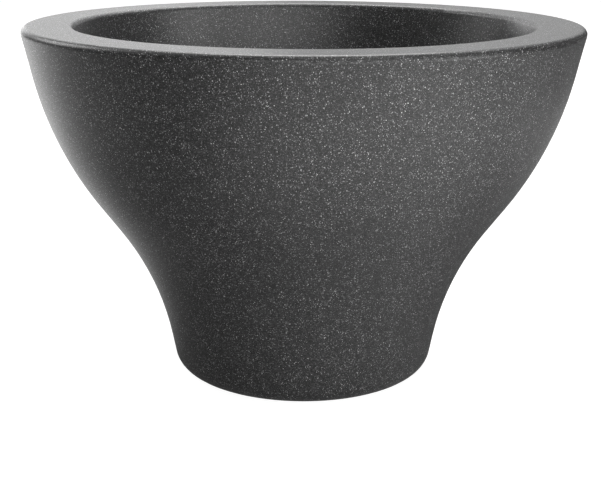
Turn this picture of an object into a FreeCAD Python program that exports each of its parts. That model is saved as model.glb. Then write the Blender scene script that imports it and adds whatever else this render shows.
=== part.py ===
import FreeCAD, Part
import math
import os

from FreeCAD import Vector

# Planter bowl: a hollow double-wall shell moulded in one piece, with a flat rim, a narrow foot and a drain
# in its floor, and the loose pieces that go with it. Millimetres and degrees. Z is the axis of the bowl,
# and Z = 0 is the floor that the foot pads stand on. Wall angles lean outwards from the vertical.

# Outline of the shell
overall_diameter = 600.0
overall_height = 390.0
foot_diameter = 285.0  # where the line of the foot wall meets the base
lip_angle = 12.4
lip_length = 51.0  # straight stretch under the rim
flank_length = 34.0  # straight stretch between the bowl and the neck
foot_angle = 10.8
foot_length = 41.0  # straight stretch above the base
neck_to_bowl = 0.883  # radius of the hollow neck curve over that of the bowl curve

# Walls of the shell
wall_depth = 53.5  # outside face to planting face
skin = 5.0  # thickness of the moulded plastic
floor_height = 46.0  # base to planting floor
rim_edge_radius = 6.0
base_edge_radius = 24.0
floor_edge_radius = 20.0

# Underside of the shell
stand_ring_width = 25.0
dish_depth = 8.0
dish_draft = 30.0
dish_edge_radius = 4.0

# Drain and its plug
drain_bore_radius = 10.0
drain_land = 12.0  # fused thickness around the bore
recess_draft = 30.0
recess_edge_radius = 3.0
flange_radius = 20.0
flange_thickness = 3.0
flange_chamfer = 1.0
finger_room = 4.0  # between the flange and the recess wall
gasket_thickness = 2.0
gasket_slack = 0.2  # gasket bore over the plug's core
shank_clearance = 0.15  # sealing fins to the drain bore
shank_setback = 1.0  # tip of the shank below the planting floor
fin_count = 3
fin_depth = 1.2
fin_thickness = 1.4
grip_width = 24.0
grip_height = 12.0
grip_thickness = 5.0
grip_corner_radius = 5.0
plug_wall = 2.6

# Vent plug
vent_hole_radius = 5.0
vent_clearance = 0.15
vent_head_radius = 8.5
vent_head_thickness = 2.0
vent_head_chamfer = 0.8
vent_barb_overhang = 0.8
vent_barb_height = 3.5
vent_tip_radius = 3.6

# Foot pads
pad_count = 4
pad_radius = 9.0
pad_proud = 2.0
pad_pocket_depth = 1.0
pad_pocket_clearance = 0.2
pad_chamfer = 0.6
pad_first_angle = 45.0

# Drainage grid and its legs
grid_height = 56.0  # planting floor to the top of the plate
grid_thickness = 3.0
grid_wall_gap = 2.5  # plate to the planting wall
skirt_thickness = 2.6
sector_count = 6
rib_height = 7.0  # also that of the skirt around the plate
rib_thickness = 2.2
socket_radius = 12.75  # takes a plant pole of 25 mm, which stands on the planting floor
socket_depth = 30.0
socket_wall = 2.4
leg_radius = 9.0
leg_wall = 2.0
leg_floor_margin = 5.0  # foot of a leg to the rounded edge of the planting floor
leg_notch_width = 4.0
leg_notch_height = 3.0
spigot_slack = 0.2  # spigot to the bore of its leg
spigot_length = 12.0
spigot_chamfer = 1.2
slot_width = 4.0
slot_web = 4.0  # plate left between a slot and what it stops at
slot_pitch = 10.0  # from one row of slots to the next
finger_hole_radius = 11.0
finger_hole_sectors = (0, 3)

# Levels that follow from the sizes above
top_z = overall_height
base_z = pad_proud
floor_z = base_z + floor_height
dish_z = base_z + dish_depth
recess_z = floor_z - drain_land
grid_top_z = floor_z + grid_height
grid_low_z = grid_top_z - grid_thickness
rib_low_z = grid_low_z - rib_height
below_all = base_z - foot_length
above_all = top_z + foot_length


def down_wall(angle):
    return Vector(-math.sin(math.radians(angle)), 0, -math.cos(math.radians(angle)))


def into_wall(angle):
    return Vector(-math.cos(math.radians(angle)), 0, math.sin(math.radians(angle)))


def tangent_length(radius, turn):
    """How far a rounding of that radius reaches from a corner where the outline turns by that angle."""
    return radius * math.tan(math.radians(turn / 2))


class Wall:
    """Outside face of the shell: lip, bowl curve, flank, neck curve and foot, each tangent to the next."""

    def __init__(self):
        # The rounded rim edge, and not its sharp corner, has the overall diameter.
        rim_overhang = tangent_length(rim_edge_radius, 90 + lip_angle) - rim_edge_radius
        corner_radius = overall_diameter / 2 + rim_overhang
        self.lip_end = Vector(corner_radius, 0, top_z) + down_wall(lip_angle) * lip_length
        self.foot_start = Vector(foot_diameter / 2, 0, base_z) - down_wall(foot_angle) * foot_length
        self.flank_angle = self.solve_flank_angle()
        self.bowl_radius = self.bowl_radius_for(self.flank_angle)
        self.neck_radius = neck_to_bowl * self.bowl_radius
        self.bowl_centre = self.lip_end + into_wall(lip_angle) * self.bowl_radius
        self.flank_start = self.bowl_centre - into_wall(self.flank_angle) * self.bowl_radius
        self.flank_end = self.flank_start + down_wall(self.flank_angle) * flank_length
        self.neck_centre = self.flank_end - into_wall(self.flank_angle) * self.neck_radius

    def bowl_radius_for(self, flank_angle):
        """Bowl radius that fills the height between the lip and the foot at that flank angle."""
        lip, flank, foot = (math.radians(a) for a in (lip_angle, flank_angle, foot_angle))
        height = self.lip_end.z - self.foot_start.z - flank_length * math.cos(flank)
        rise = math.sin(flank) - math.sin(lip) + neck_to_bowl * (math.sin(flank) - math.sin(foot))
        return height / rise

    def reach_for(self, flank_angle):
        """How far the two curves and the flank step in towards the axis at that flank angle."""
        lip, flank, foot = (math.radians(a) for a in (lip_angle, flank_angle, foot_angle))
        step = math.cos(lip) - math.cos(flank) + neck_to_bowl * (math.cos(foot) - math.cos(flank))
        return self.bowl_radius_for(flank_angle) * step + flank_length * math.sin(flank)

    def solve_flank_angle(self):
        """Flank angle at which the curves meet the foot, by halving the interval."""
        reach = self.lip_end.x - self.foot_start.x
        low, high = max(lip_angle, foot_angle) + 1.0, 85.0
        while high - low > 1e-9:
            middle = (low + high) / 2
            if self.reach_for(middle) < reach:
                low = middle
            else:
                high = middle
        return low

    def bends(self, depth):
        """Heights where one stretch meets the next, from the foot up, on a face that deep inside the wall."""
        corners = [
            self.foot_start + into_wall(foot_angle) * depth,
            self.flank_end + into_wall(self.flank_angle) * depth,
            self.flank_start + into_wall(self.flank_angle) * depth,
            self.lip_end + into_wall(lip_angle) * depth,
        ]
        return [corner.z for corner in corners]

    def at(self, depth, z):
        """Radius and wall angle at that height, on a face that deep inside the wall."""
        neck_low, neck_high, bowl_low, bowl_high = self.bends(depth)
        if z < neck_low:
            return self.on_line(self.foot_start, foot_angle, depth, z)
        if z < neck_high:
            return self.on_curve(self.neck_centre, self.neck_radius + depth, z)
        if z < bowl_low:
            return self.on_line(self.flank_start, self.flank_angle, depth, z)
        if z < bowl_high:
            return self.on_curve(self.bowl_centre, depth - self.bowl_radius, z)
        return self.on_line(self.lip_end, lip_angle, depth, z)

    def on_line(self, point, angle, depth, z):
        start = point + into_wall(angle) * depth
        return start.x + (z - start.z) * math.tan(math.radians(angle)), angle

    def on_curve(self, centre, radius, z):
        """The radius is positive for a curve about a centre outside the wall."""
        angle = math.degrees(math.asin((z - centre.z) / radius))
        return (centre + into_wall(angle) * radius).x, angle

    def radius_at(self, depth, z):
        return self.at(depth, z)[0]

    def point_at(self, depth, z):
        return Vector(self.radius_at(depth, z), 0, z)

    def face_edges(self, depth, low, high):
        """Outline of the face that deep in the wall, from one height up to another."""
        levels = [below_all] + self.bends(depth) + [above_all]
        edges = []
        for index, (start, end) in enumerate(zip(levels, levels[1:])):
            start, end = max(start, low), min(end, high)
            if end <= start:
                continue
            points = [self.point_at(depth, z) for z in (start, (start + end) / 2, end)]
            curved = index in (1, 3)
            edges.append(Part.Arc(*points) if curved else Part.LineSegment(points[0], points[2]))
        return edges

    def rounding(self, depth, radius, centre_z, level):
        """Where the rounding between the wall and a level face leaves the wall, its middle and its end."""
        centre_radius, angle = self.at(depth + radius, centre_z)
        centre = Vector(centre_radius, 0, centre_z)
        on_wall = into_wall(angle) * -radius
        on_level = Vector(0, 0, level - centre_z)
        middle = (on_wall + on_level).normalize() * radius
        return centre + on_wall, centre + middle, centre + on_level

    def inside(self, depth, low, high, low_rounding, high_rounding=0.0):
        """Solid inside the face that deep in the wall, level at two heights, with rounded edges."""
        on_wall, middle, on_floor = self.rounding(depth, low_rounding, low + low_rounding, low)
        edges = [Part.LineSegment(Vector(0, 0, low), on_floor), Part.Arc(on_floor, middle, on_wall)]
        if high_rounding:
            off_wall, middle, on_top = self.rounding(depth, high_rounding, high - high_rounding, high)
            edges += self.face_edges(depth, on_wall.z, off_wall.z)
            edges.append(Part.Arc(off_wall, middle, on_top))
        else:
            on_top = self.point_at(depth, high)
            edges += self.face_edges(depth, on_wall.z, high)
        axis_top = Vector(0, 0, high)
        edges += [Part.LineSegment(on_top, axis_top), Part.LineSegment(axis_top, Vector(0, 0, low))]
        return turned(edges)


def turned(edges):
    face = Part.Face(Part.Wire([e.toShape() for e in edges]))
    return face.revolve(Vector(0, 0, 0), Vector(0, 0, 1), 360)


def turned_outline(points, place=Vector(0, 0, 0)):
    """Solid turned from a closed outline of (radius, height) corners, moved to its place."""
    corners = [Vector(r, 0, z) for r, z in points]
    solid = turned([Part.LineSegment(a, b) for a, b in zip(corners, corners[1:] + corners[:1])])
    solid.translate(place)
    return solid


def cylinder(radius, low, high, centre=Vector(0, 0, 0)):
    return Part.makeCylinder(radius, high - low, Vector(centre.x, centre.y, low))


def cone(low_radius, high_radius, low, high):
    return Part.makeCone(low_radius, high_radius, high - low, Vector(0, 0, low))


def tube(outer, inner, low, high, centre=Vector(0, 0, 0)):
    return cylinder(outer, low, high, centre).cut(cylinder(inner, low, high, centre))


def polar(radius, angle, z=0.0):
    return Vector(radius * math.cos(math.radians(angle)), radius * math.sin(math.radians(angle)), z)


def spaced(count, first=0.0):
    return [first + 360.0 * i / count for i in range(count)]


def rounded(shape, radius, ring_radius, z):
    """Rounds the circular edges of that radius at that height."""
    found = [
        e
        for e in shape.Edges
        if isinstance(e.Curve, Part.Circle)
        and abs(e.Curve.Center.z - z) < 1e-3
        and abs(e.Curve.Radius - ring_radius) < 1e-3
    ]
    return shape.makeFillet(radius, found)


def save(node, shape):
    for solid in shape.Solids:
        if not solid.isValid():
            raise ValueError(node + " has a solid that isn't valid")
    shape.exportStep(os.path.join("parts", node + ".step"))
    print(f"{node}: {len(shape.Solids)} solids, {shape.Volume / 1000:.1f} cm3, {len(shape.Faces)} faces")


wall = Wall()

# The stand ring ends where the rounded base edge begins, and the vent lies midway across the dish.
stand_ring_outer = foot_diameter / 2 - tangent_length(base_edge_radius, 90 - foot_angle)
stand_ring_inner = stand_ring_outer - stand_ring_width
pad_pitch_radius = (stand_ring_outer + stand_ring_inner) / 2
recess_top_radius = flange_radius + finger_room
recess_mouth_radius = recess_top_radius + (recess_z - dish_z) * math.tan(math.radians(recess_draft))
dish_flat_radius = stand_ring_inner - dish_depth * math.tan(math.radians(dish_draft))
vent_pitch_radius = (recess_mouth_radius + dish_flat_radius) / 2
fin_radius = drain_bore_radius - shank_clearance
core_radius = fin_radius - fin_depth

# The grid follows the planting wall, and its legs stand on the flat of the planting floor.
floor_flat_radius = wall.rounding(wall_depth, floor_edge_radius, floor_z + floor_edge_radius, floor_z)[2].x
skirt_low_radius = wall.radius_at(wall_depth, rib_low_z) - grid_wall_gap
plate_radius = wall.radius_at(wall_depth, grid_top_z) - grid_wall_gap
hub_radius = socket_radius + socket_wall
leg_pitch_radius = floor_flat_radius - leg_floor_margin - leg_radius
leg_angles = spaced(sector_count, 180.0 / sector_count)


def dish(grown=0.0):
    """Hollow under the base, or that hollow with its faces moved outwards into the plastic."""
    slope = math.tan(math.radians(dish_draft))
    spread = grown / math.cos(math.radians(dish_draft))
    low = below_all
    high = dish_z + grown
    return cone(
        stand_ring_inner + spread + (base_z - low) * slope,
        stand_ring_inner + spread - (high - base_z) * slope,
        low,
        high,
    )


def drain_recess(grown=0.0):
    """Conical recess under the drain. Grown by the skin, it is the post that ties the base to the floor."""
    slope = math.tan(math.radians(recess_draft))
    spread = grown / math.cos(math.radians(recess_draft))
    low = base_z
    high = recess_z if grown == 0 else floor_z
    return cone(
        recess_top_radius + spread + (recess_z - low) * slope,
        recess_top_radius + spread - (high - recess_z) * slope,
        low,
        high,
    )


def hollow():
    """Closed space between the outside skin, the planting skin and the base."""
    outer = wall.inside(skin, base_z + skin, top_z - skin, base_edge_radius - skin)
    inner = wall.inside(wall_depth - skin, floor_z - skin, above_all, floor_edge_radius + skin)
    return outer.cut(inner).cut(dish(skin)).cut(drain_recess(skin))


def planter_shell():
    body = wall.inside(0, base_z, top_z, base_edge_radius, rim_edge_radius)
    shell = body.cut(wall.inside(wall_depth, floor_z, above_all, floor_edge_radius))
    shell = rounded(shell, rim_edge_radius, wall.radius_at(wall_depth, top_z), top_z)
    shell = shell.cut(dish()).cut(drain_recess())
    shell = rounded(shell, dish_edge_radius, stand_ring_inner, base_z)
    shell = rounded(shell, recess_edge_radius, recess_mouth_radius, dish_z)
    bore = cylinder(drain_bore_radius, base_z, top_z)
    vent = cylinder(vent_hole_radius, base_z, dish_z + 2 * skin, Vector(vent_pitch_radius, 0, 0))
    pocket_radius = pad_radius + pad_pocket_clearance
    pockets = [
        cylinder(pocket_radius, base_z, base_z + pad_pocket_depth, polar(pad_pitch_radius, angle))
        for angle in spaced(pad_count, pad_first_angle)
    ]
    return shell.cut([bore, hollow(), vent] + pockets)


def foot_pads():
    outline = [
        (0, 0),
        (pad_radius - pad_chamfer, 0),
        (pad_radius, pad_chamfer),
        (pad_radius, pad_proud + pad_pocket_depth),
        (0, pad_proud + pad_pocket_depth),
    ]
    places = [polar(pad_pitch_radius, angle) for angle in spaced(pad_count, pad_first_angle)]
    return Part.makeCompound([turned_outline(outline, place) for place in places])


def vent_plug():
    """Push-in button: head under the base skin, shank in the vent and a barb inside the hollow."""
    head_low = dish_z - vent_head_thickness
    shank_radius = vent_hole_radius - vent_clearance
    barb_z = dish_z + skin
    outline = [
        (0, head_low),
        (vent_head_radius - vent_head_chamfer, head_low),
        (vent_head_radius, head_low + vent_head_chamfer),
        (vent_head_radius, dish_z),
        (shank_radius, dish_z),
        (shank_radius, barb_z),
        (vent_hole_radius + vent_barb_overhang, barb_z),
        (vent_tip_radius, barb_z + vent_barb_height),
        (0, barb_z + vent_barb_height),
    ]
    return turned_outline(outline, Vector(vent_pitch_radius, 0, 0))


def drain_plug():
    """Push-in plug from below: finned shank, flange and a grip to pull it by."""
    flange_top = recess_z - gasket_thickness
    flange_low = flange_top - flange_thickness
    tip = floor_z - shank_setback
    body = turned_outline(
        [
            (0, flange_low),
            (flange_radius - flange_chamfer, flange_low),
            (flange_radius, flange_low + flange_chamfer),
            (flange_radius, flange_top),
            (core_radius, flange_top),
            (core_radius, tip),
            (0, tip),
        ]
    )
    fin_pitch = (tip - recess_z) / fin_count
    for i in range(fin_count):
        fin_low = recess_z + fin_pitch * (i + 1) - fin_thickness
        body = body.fuse(tube(fin_radius, core_radius, fin_low, fin_low + fin_thickness))
    well = cylinder(core_radius - plug_wall, flange_top, tip)
    return body.cut(well).fuse(drain_grip(flange_low)).removeSplitter()


def drain_grip(z):
    """Upright web under the plug's flange, with its lower corners rounded."""
    half = grip_width / 2
    corner = Vector(-half, -grip_thickness / 2, z - grip_height)
    web = Part.makeBox(grip_width, grip_thickness, grip_height, corner)
    corners = [
        e
        for e in web.Edges
        if abs(e.CenterOfMass.z - (z - grip_height)) < 1e-3 and abs(abs(e.CenterOfMass.x) - half) < 1e-3
    ]
    return web.makeFillet(grip_corner_radius, corners)


def drain_gasket():
    return tube(flange_radius, core_radius + gasket_slack, recess_z - gasket_thickness, recess_z)


def grid_plate():
    """Round plate with a skirt below its edge that leans with the planting wall."""
    lean = (plate_radius - skirt_low_radius) / (grid_top_z - rib_low_z)
    inner = skirt_low_radius - skirt_thickness
    return turned_outline(
        [
            (0, grid_low_z),
            (inner + lean * rib_height, grid_low_z),
            (inner, rib_low_z),
            (skirt_low_radius, rib_low_z),
            (plate_radius, grid_top_z),
            (0, grid_top_z),
        ]
    )


def grid_rib(angle):
    """Rib under the plate, from the hub past a leg to the skirt."""
    start = Vector(hub_radius - socket_wall / 2, -rib_thickness / 2, rib_low_z)
    rib = Part.makeBox(skirt_low_radius - skirt_thickness / 2 - start.x, rib_thickness, rib_height, start)
    rib.rotate(Vector(0, 0, 0), Vector(0, 0, 1), angle)
    return rib


def leg_spigot(angle):
    """Boss that a leg stops against, and the spigot that the leg is pushed on."""
    spigot_radius = leg_radius - leg_wall - spigot_slack
    tip = rib_low_z - spigot_length
    outline = [
        (0, tip),
        (spigot_radius - spigot_chamfer, tip),
        (spigot_radius, tip + spigot_chamfer),
        (spigot_radius, rib_low_z),
        (leg_radius, rib_low_z),
        (leg_radius, grid_low_z),
        (0, grid_low_z),
    ]
    return turned_outline(outline, polar(leg_pitch_radius, angle))


def arc_slot(radius, start, end):
    """Slot through the plate along a circle about the axis, with round ends."""
    half = slot_width / 2
    outer = [polar(radius + half, angle) for angle in (start, (start + end) / 2, end)]
    inner = [polar(radius - half, angle) for angle in (end, (start + end) / 2, start)]
    first_end = polar(radius, start) - polar(half, start + 90)
    second_end = polar(radius, end) + polar(half, end + 90)
    edges = [
        Part.Arc(*outer),
        Part.Arc(outer[2], second_end, inner[0]),
        Part.Arc(*inner),
        Part.Arc(inner[2], first_end, outer[0]),
    ]
    face = Part.Face(Part.Wire([e.toShape() for e in edges]))
    face.translate(Vector(0, 0, rib_low_z))
    return face.extrude(Vector(0, 0, grid_top_z + grid_thickness - rib_low_z))


def half_angle(half_width, radius):
    """Half of the angle that something of that half width, its web and half a slot take up at a radius."""
    return math.degrees((half_width + slot_web + slot_width / 2) / radius)


def crosses(radius, pitch_radius, reach):
    """Whether a row of slots at that radius comes too near to something of that reach about a pitch circle."""
    return abs(radius - pitch_radius) < reach + slot_web + slot_width / 2


def row_spans(radius, has_finger_hole):
    """Angles from the middle of a sector over which a row of slots is open, clear of ribs, legs and holes."""
    side = leg_radius if crosses(radius, leg_pitch_radius, leg_radius) else rib_thickness / 2
    end = 180.0 / sector_count - half_angle(side, radius)
    if has_finger_hole and crosses(radius, leg_pitch_radius, finger_hole_radius):
        start = half_angle(finger_hole_radius, radius)
        spans = [(-end, -start), (start, end)]
    else:
        spans = [(-end, end)]
    shortest = math.degrees(slot_width / radius)
    return [span for span in spans if span[1] - span[0] > shortest]


def grid_slots():
    """Rows of slots about the axis, as many as there is room for between the hub and the skirt."""
    first = hub_radius + slot_web + slot_width / 2
    last = skirt_low_radius - skirt_thickness - slot_web - slot_width / 2
    slots = []
    for row in range(1 + int((last - first) / slot_pitch)):
        radius = last - row * slot_pitch
        for index, middle in enumerate(spaced(sector_count)):
            for start, end in row_spans(radius, index in finger_hole_sectors):
                slots.append(arc_slot(radius, middle + start, middle + end))
    return slots


def finger_holes():
    """Two holes to lift the grid by, each midway between two legs."""
    angles = [spaced(sector_count)[i] for i in finger_hole_sectors]
    top = grid_top_z + grid_thickness
    return [cylinder(finger_hole_radius, rib_low_z, top, polar(leg_pitch_radius, angle)) for angle in angles]


def drainage_grid():
    """Slotted plate with a skirt, a sleeve for a plant pole, ribs and a spigot for each leg."""
    socket_low = grid_top_z - socket_depth
    parts = [cylinder(hub_radius, socket_low, grid_low_z)]
    for angle in leg_angles:
        parts += [grid_rib(angle), leg_spigot(angle)]
    grid = grid_plate().fuse(parts).removeSplitter()
    socket = cylinder(socket_radius, floor_z, above_all)
    return grid.cut(grid_slots() + finger_holes() + [socket])


def grid_legs():
    """Tubes from the planting floor up to the bosses of the grid, notched below so that water runs through."""
    legs = []
    for angle in leg_angles:
        leg = tube(leg_radius, leg_radius - leg_wall, floor_z, rib_low_z, polar(leg_pitch_radius, angle))
        start = Vector(leg_pitch_radius - leg_radius, -leg_notch_width / 2, floor_z)
        notch = Part.makeBox(2 * leg_radius, leg_notch_width, leg_notch_height, start)
        notch.rotate(Vector(0, 0, 0), Vector(0, 0, 1), angle)
        legs.append(leg.cut(notch))
    return Part.makeCompound(legs)


os.makedirs("parts", exist_ok=True)
save("planter_shell", planter_shell())
save("foot_pads", foot_pads())
save("vent_plug", vent_plug())
save("drain_plug", drain_plug())
save("drain_gasket", drain_gasket())
save("drainage_grid", drainage_grid())
save("grid_legs", grid_legs())
print(f"flank angle {wall.flank_angle:.2f}")
print(f"bowl radius {wall.bowl_radius:.1f}, neck radius {wall.neck_radius:.1f}")
print(f"planting wall radius at the rim {wall.radius_at(wall_depth, top_z):.1f}")
print(f"plate radius {plate_radius:.1f}, pitch radius of the legs {leg_pitch_radius:.3f}")
print(f"pitch radius of the pads {pad_pitch_radius:.3f}, of the vent {vent_pitch_radius:.3f}")
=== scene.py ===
import math

import bpy
from mathutils import Matrix, Vector

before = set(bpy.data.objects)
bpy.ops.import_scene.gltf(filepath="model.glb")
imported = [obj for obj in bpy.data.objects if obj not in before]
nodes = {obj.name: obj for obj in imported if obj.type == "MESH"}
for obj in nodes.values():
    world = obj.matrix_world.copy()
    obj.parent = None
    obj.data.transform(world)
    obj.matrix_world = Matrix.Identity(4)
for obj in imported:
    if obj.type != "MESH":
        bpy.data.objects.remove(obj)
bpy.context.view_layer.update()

scene = bpy.context.scene
print("frame loaded with", len(nodes), "pieces")


# helpers for node trees

def startMaterial(name):
    material = bpy.data.materials.new(name)
    material.use_nodes = True
    tree = material.node_tree
    shader = tree.nodes["Principled BSDF"]
    coords = tree.nodes.new("ShaderNodeTexCoord")
    return material, tree, shader, coords.outputs["Object"]


def addNode(tree, kind, **settings):
    node = tree.nodes.new(kind)
    for key, value in settings.items():
        setattr(node, key, value)
    return node


def fill(tree, socket, value):
    if isinstance(value, (int, float)):
        socket.default_value = value
    elif isinstance(value, tuple):
        socket.default_value = (*value, 1.0)
    else:
        tree.links.new(value, socket)


def math2(tree, operation, first, second):
    node = addNode(tree, "ShaderNodeMath", operation=operation)
    fill(tree, node.inputs[0], first)
    fill(tree, node.inputs[1], second)
    return node.outputs["Value"]


def times(tree, first, second):
    return math2(tree, "MULTIPLY", first, second)


def mapRange(tree, value, fromLow, fromHigh, toLow=0.0, toHigh=1.0, smooth=False):
    node = addNode(tree, "ShaderNodeMapRange")
    if smooth:
        node.interpolation_type = "SMOOTHSTEP"
    node.inputs["From Min"].default_value = fromLow
    node.inputs["From Max"].default_value = fromHigh
    node.inputs["To Min"].default_value = toLow
    node.inputs["To Max"].default_value = toHigh
    tree.links.new(value, node.inputs["Value"])
    return node.outputs["Result"]


def noise(tree, coords, scale, detail=2.0, roughness=0.5):
    node = addNode(tree, "ShaderNodeTexNoise")
    node.inputs["Scale"].default_value = scale
    node.inputs["Detail"].default_value = detail
    node.inputs["Roughness"].default_value = roughness
    tree.links.new(coords, node.inputs["Vector"])
    return node


def sway(tree, value, low, high):
    return mapRange(tree, value, 0.3, 0.7, low, high)  # most of a noise lies between 0.3 and 0.7


def mixColour(tree, factor, first, second):
    node = addNode(tree, "ShaderNodeMix", data_type="RGBA")
    fill(tree, node.inputs[0], factor)
    fill(tree, node.inputs[6], first)
    fill(tree, node.inputs[7], second)
    return node.outputs[2]


def shadedColour(tree, colour, shade):
    node = addNode(tree, "ShaderNodeVectorMath", operation="SCALE")
    node.inputs[0].default_value = colour
    tree.links.new(shade, node.inputs["Scale"])
    return node.outputs[0]


def addBump(tree, shader, height, distance):
    node = addNode(tree, "ShaderNodeBump")
    node.inputs["Distance"].default_value = distance
    tree.links.new(height, node.inputs["Height"])
    tree.links.new(node.outputs["Normal"], shader.inputs["Normal"])


def dress(node, material):
    mesh = nodes[node].data
    mesh.materials.clear()
    mesh.materials.append(material)


# shell: granite-look plastic, crystals under 1 mm in all greys, with pale and dark flecks of about 1 mm

shellLook = dict(
    ground=(0.047, 0.047, 0.0475),
    crystalScale=1600.0,
    crystalTones=((0.0, 0.0), (0.3, 0.25), (0.6, 0.7), (0.85, 1.4), (0.95, 2.6), (1.0, 10.0)),
    warpScale=900.0,
    warpReach=0.0007,
    darkFleck=dict(colour=(0.003, 0.003, 0.003), scale=620.0, share=0.24, radius=(0.27, 0.54)),
    paleFleck=dict(colour=(0.9, 0.9, 0.9), scale=950.0, share=0.065, radius=(0.24, 0.48)),
    fleckStrength=(0.4, 1.0),
    cloudScale=90.0,
    cloudShade=(0.93, 1.07),
    roughness=(0.35, 0.44),
    gloss=0.7,
    grainScale=900.0,
    grainDepth=0.000012,
)


def brokenCoords(tree, coords, scale, reach):
    wander = noise(tree, coords, scale, 1.0).outputs["Color"]
    centred = addNode(tree, "ShaderNodeVectorMath", operation="SUBTRACT")
    centred.inputs[1].default_value = (0.5, 0.5, 0.5)
    tree.links.new(wander, centred.inputs[0])
    scaled = addNode(tree, "ShaderNodeVectorMath", operation="SCALE")
    scaled.inputs["Scale"].default_value = reach
    tree.links.new(centred.outputs[0], scaled.inputs[0])
    moved = addNode(tree, "ShaderNodeVectorMath", operation="ADD")
    tree.links.new(coords, moved.inputs[0])
    tree.links.new(scaled.outputs[0], moved.inputs[1])
    return moved.outputs[0]


def cells(tree, coords, scale):
    node = addNode(tree, "ShaderNodeTexVoronoi", feature="F1")
    node.inputs["Scale"].default_value = scale
    tree.links.new(coords, node.inputs["Vector"])
    split = addNode(tree, "ShaderNodeSeparateColor")
    tree.links.new(node.outputs["Color"], split.inputs["Color"])
    return node.outputs["Distance"], split.outputs


# each crystal draws a lot from 0 to 1, and the curve says how many are how bright
def crystals(tree, coords, scale, tones):
    dice = cells(tree, coords, scale)[1]
    highest = tones[-1][1]
    curve = addNode(tree, "ShaderNodeFloatCurve")
    line = curve.mapping.curves[0]
    line.points[0].location = (tones[0][0], tones[0][1] / highest)
    line.points[-1].location = (tones[-1][0], 1.0)
    for lot, tone in tones[1:-1]:
        line.points.new(lot, tone / highest)
    for point in line.points:
        point.handle_type = "VECTOR"
    curve.mapping.update()
    tree.links.new(dice["Red"], curve.inputs["Value"])
    return times(tree, curve.outputs["Value"], highest)


# a share of the cells holds a fleck each, with a radius given in cells
def flecks(tree, coords, fleck, strength):
    distance, dice = cells(tree, coords, fleck["scale"])
    chosen = math2(tree, "GREATER_THAN", dice["Red"], 1.0 - fleck["share"])
    radius = mapRange(tree, dice["Green"], 0.0, 1.0, *fleck["radius"])
    inside = math2(tree, "LESS_THAN", distance, radius)
    cover = mapRange(tree, dice["Blue"], 0.0, 1.0, *strength)
    return times(tree, times(tree, chosen, inside), cover)


def graniteMaterial(look):
    material, tree, shader, coords = startMaterial("granitePlastic")
    broken = brokenCoords(tree, coords, look["warpScale"], look["warpReach"])
    tone = crystals(tree, broken, look["crystalScale"], look["crystalTones"])
    cloud = sway(tree, noise(tree, coords, look["cloudScale"], 3.0).outputs["Fac"], *look["cloudShade"])
    colour = shadedColour(tree, look["ground"], times(tree, tone, cloud))
    dark = flecks(tree, broken, look["darkFleck"], look["fleckStrength"])
    pale = flecks(tree, broken, look["paleFleck"], look["fleckStrength"])
    colour = mixColour(tree, dark, colour, look["darkFleck"]["colour"])
    colour = mixColour(tree, pale, colour, look["paleFleck"]["colour"])
    tree.links.new(colour, shader.inputs["Base Color"])
    grain = noise(tree, coords, look["grainScale"]).outputs["Fac"]
    rough = sway(tree, grain, *look["roughness"])
    tree.links.new(rough, shader.inputs["Roughness"])
    shader.inputs["Specular IOR Level"].default_value = look["gloss"]
    addBump(tree, shader, grain, look["grainDepth"])
    return material


dress("planter_shell", graniteMaterial(shellLook))
print("shell done")


# fittings: black moulded plastics and rubbers with a fine grain and cloudy gloss

mouldedFinish = dict(grainShade=(0.8, 1.2), cloudScale=45.0, cloudShade=(0.88, 1.12), roughSwing=0.06)


def mouldedMaterial(name, look):
    material, tree, shader, coords = startMaterial(name)
    grain = noise(tree, coords, look["grainScale"], 3.0, 0.6).outputs["Fac"]
    cloud = noise(tree, coords, mouldedFinish["cloudScale"], 3.0).outputs["Fac"]
    grainShade = sway(tree, grain, *mouldedFinish["grainShade"])
    cloudShade = sway(tree, cloud, *mouldedFinish["cloudShade"])
    shade = times(tree, grainShade, cloudShade)
    tree.links.new(shadedColour(tree, look["colour"], shade), shader.inputs["Base Color"])
    swing = mouldedFinish["roughSwing"]
    rough = sway(tree, cloud, look["roughness"] - swing, look["roughness"] + swing)
    tree.links.new(rough, shader.inputs["Roughness"])
    addBump(tree, shader, grain, look["grainDepth"])
    return material


gridLook = dict(colour=(0.022, 0.022, 0.023), roughness=0.50, grainScale=1100.0, grainDepth=0.00008)
dress("drainage_grid", mouldedMaterial("gridPlastic", gridLook))

legLook = dict(colour=(0.034, 0.034, 0.035), roughness=0.38, grainScale=700.0, grainDepth=0.00003)
dress("grid_legs", mouldedMaterial("legPlastic", legLook))

plugLook = dict(colour=(0.026, 0.026, 0.027), roughness=0.36, grainScale=800.0, grainDepth=0.00004)
dress("drain_plug", mouldedMaterial("plugPlastic", plugLook))

gasketLook = dict(colour=(0.014, 0.014, 0.014), roughness=0.70, grainScale=1500.0, grainDepth=0.00005)
dress("drain_gasket", mouldedMaterial("gasketRubber", gasketLook))

ventLook = dict(colour=(0.028, 0.028, 0.028), roughness=0.45, grainScale=800.0, grainDepth=0.00004)
dress("vent_plug", mouldedMaterial("ventPlastic", ventLook))

padLook = dict(colour=(0.016, 0.016, 0.016), roughness=0.75, grainScale=1300.0, grainDepth=0.00006)
dress("foot_pads", mouldedMaterial("padRubber", padLook))
print("fittings done")


# places round the planter are given by a turn, with 0 in front and 90 on the right

def direction(turn, height=0.0):
    turn, height = math.radians(turn), math.radians(height)
    flat = math.cos(height)
    return Vector((flat * math.sin(turn), -flat * math.cos(turn), math.sin(height)))


# floor: a light table, white to the eye and clear from below, that glows most behind left and in front right

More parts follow.
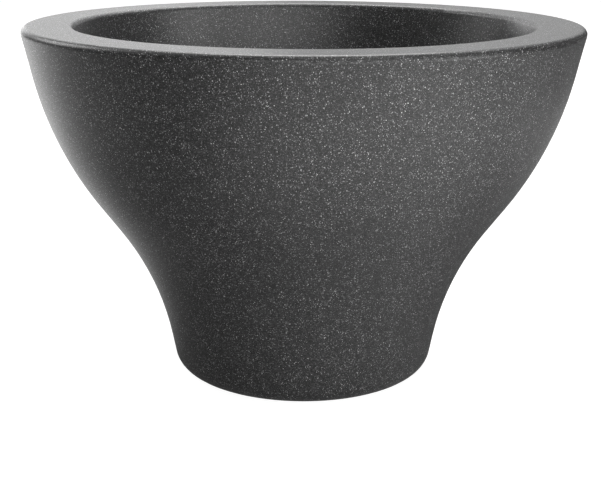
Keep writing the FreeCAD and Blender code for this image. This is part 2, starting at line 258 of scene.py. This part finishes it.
floorLook = dict(
    radius=30.0,
    sides=96,
    height=-0.0003,  # just under the foot pads
    white=0.96,
    shade=0.25,
    roughness=0.9,
    dim=0.15,
    cloudScale=3.0,
    cloudShade=(0.99, 1.01),
)
floorGlows = dict(
    front=dict(away=1.0, turn=0.0, size=0.75, strength=0.9),
    nearFront=dict(away=0.5, turn=0.0, size=0.4, strength=0.45),
    frontRight=dict(away=1.0, turn=45.0, size=0.75, strength=1.7),
    nearRight=dict(away=0.45, turn=45.0, size=0.4, strength=0.5),
    right=dict(away=1.0, turn=90.0, size=0.75, strength=0.7),
    rightBack=dict(away=1.2, turn=150.0, size=0.9, strength=0.6),
    back=dict(away=1.4, turn=180.0, size=1.0, strength=1.2),
    farBack=dict(away=5.0, turn=200.0, size=4.0, strength=2.0),
    farLeft=dict(away=6.0, turn=235.0, size=4.5, strength=1.5),
    nearLeftBack=dict(away=0.45, turn=225.0, size=0.4, strength=0.8),
    leftBack=dict(away=1.0, turn=225.0, size=0.75, strength=1.4),
    farLeftBack=dict(away=2.0, turn=225.0, size=1.4, strength=2.0),
    left=dict(away=1.0, turn=270.0, size=0.75, strength=0.4),
)


def glowOnFloor(tree, coords, glow):
    reach = addNode(tree, "ShaderNodeVectorMath", operation="DISTANCE")
    reach.inputs[1].default_value = direction(glow["turn"]) * glow["away"]
    tree.links.new(coords, reach.inputs[0])
    return mapRange(tree, reach.outputs["Value"], 0.0, glow["size"], glow["strength"], 0.0, smooth=True)


def lightTableMaterial(look, glows):
    material, tree, shader, coords = startMaterial("lightTable")
    seen = addNode(tree, "ShaderNodeLightPath").outputs["Is Camera Ray"]
    glowing = look["dim"]
    for glow in glows.values():
        glowing = math2(tree, "ADD", glowing, glowOnFloor(tree, coords, glow))
    unseen = math2(tree, "SUBTRACT", 1.0, seen)
    light = math2(tree, "ADD", times(tree, unseen, glowing), times(tree, seen, look["white"]))
    cloud = sway(tree, noise(tree, coords, look["cloudScale"], 4.0).outputs["Fac"], *look["cloudShade"])
    paint = times(tree, times(tree, seen, look["shade"]), cloud)
    tree.links.new(paint, shader.inputs["Base Color"])
    shader.inputs["Roughness"].default_value = look["roughness"]
    shader.inputs["Specular IOR Level"].default_value = 0.0
    shader.inputs["Emission Color"].default_value = (1.0, 1.0, 1.0, 1.0)
    tree.links.new(light, shader.inputs["Emission Strength"])
    clear = addNode(tree, "ShaderNodeBsdfTransparent")
    choose = addNode(tree, "ShaderNodeMixShader")
    tree.links.new(addNode(tree, "ShaderNodeNewGeometry").outputs["Backfacing"], choose.inputs[0])
    tree.links.new(shader.outputs["BSDF"], choose.inputs[1])
    tree.links.new(clear.outputs["BSDF"], choose.inputs[2])
    tree.links.new(choose.outputs["Shader"], tree.nodes["Material Output"].inputs["Surface"])
    return material


def makeFloor(look, glows):
    lift = Vector((0.0, 0.0, look["height"]))
    sides = look["sides"]
    corners = [direction(360.0 * i / sides) * look["radius"] + lift for i in range(sides)]
    mesh = bpy.data.meshes.new("floor")
    mesh.from_pydata(corners, [], [tuple(range(sides))])
    mesh.materials.append(lightTableMaterial(look, glows))
    floor = bpy.data.objects.new("floor", mesh)
    scene.collection.objects.link(floor)


makeFloor(floorLook, floorGlows)
print("floor done")


# room: white to the eye, with little light of its own

roomLook = dict(seen=1.0, fill=0.06)


def makeRoom(look):
    world = bpy.data.worlds.new("room")
    scene.world = world
    world.use_nodes = True
    tree = world.node_tree
    background = tree.nodes["Background"]
    background.inputs["Color"].default_value = (1.0, 1.0, 1.0, 1.0)
    seen = addNode(tree, "ShaderNodeLightPath").outputs["Is Camera Ray"]
    strength = mapRange(tree, seen, 0.0, 1.0, look["fill"], look["seen"])
    tree.links.new(strength, background.inputs["Strength"])


makeRoom(roomLook)


# studio light: round softboxes that face the planter

softboxDistance = 4.0
aimPoint = Vector((0.0, 0.0, 0.2))
softboxes = dict(
    frontLow=dict(height=12.0, turn=0.0, size=2.8, power=35.0),
    frontRight=dict(height=12.0, turn=30.0, size=2.8, power=42.0),
    sideRight=dict(height=10.0, turn=68.0, size=2.4, power=48.0),
    highRight=dict(height=55.0, turn=45.0, size=2.6, power=20.0),
    backLow=dict(height=18.0, turn=195.0, size=2.0, power=16.0),
    skyline=dict(height=5.0, turn=206.0, size=1.2, power=14.0),  # for the left edge of the rim
    backLowRight=dict(height=18.0, turn=165.0, size=2.0, power=8.0),
    backHigh=dict(height=55.0, turn=180.0, size=2.6, power=100.0),
    backRight=dict(height=55.0, turn=135.0, size=2.6, power=25.0),
    leftBack=dict(height=30.0, turn=240.0, size=2.0, power=45.0),
    highLeft=dict(height=55.0, turn=270.0, size=2.6, power=6.0),
    overhead=dict(height=85.0, turn=0.0, size=3.2, power=14.0),
)


def makeSoftbox(name, box):
    light = bpy.data.lights.new(name, "AREA")
    light.shape = "DISK"
    light.size = box["size"]
    light.energy = box["power"]
    holder = bpy.data.objects.new(name, light)
    away = direction(box["turn"], box["height"])
    place = Matrix.Translation(aimPoint + away * softboxDistance)
    holder.matrix_world = place @ away.to_track_quat("Z", "Y").to_matrix().to_4x4()
    scene.collection.objects.link(holder)


for name, box in softboxes.items():
    makeSoftbox(name, box)
print("light done")


# camera at the viewing angle of the photograph

cameraView = dict(
    place=(0.0, -1.356, 0.518),
    pitch=15.66,
    yaw=0.096,
    roll=0.19,
    lens=74.1,
    sensor=36.0,
    clip=100.0,
)


def makeCamera(view):
    camera = bpy.data.cameras.new("camera")
    camera.sensor_fit = "HORIZONTAL"
    camera.sensor_width = view["sensor"]
    camera.lens = view["lens"]
    camera.clip_end = view["clip"]
    holder = bpy.data.objects.new("camera", camera)
    yaw = Matrix.Rotation(math.radians(view["yaw"]), 4, "Z")
    pitch = Matrix.Rotation(math.radians(90.0 - view["pitch"]), 4, "X")
    roll = Matrix.Rotation(math.radians(view["roll"]), 4, "Z")
    holder.matrix_world = Matrix.Translation(Vector(view["place"])) @ yaw @ pitch @ roll
    scene.collection.objects.link(holder)
    scene.camera = holder


makeCamera(cameraView)
scene.view_settings.view_transform = "Standard"
print("camera done")
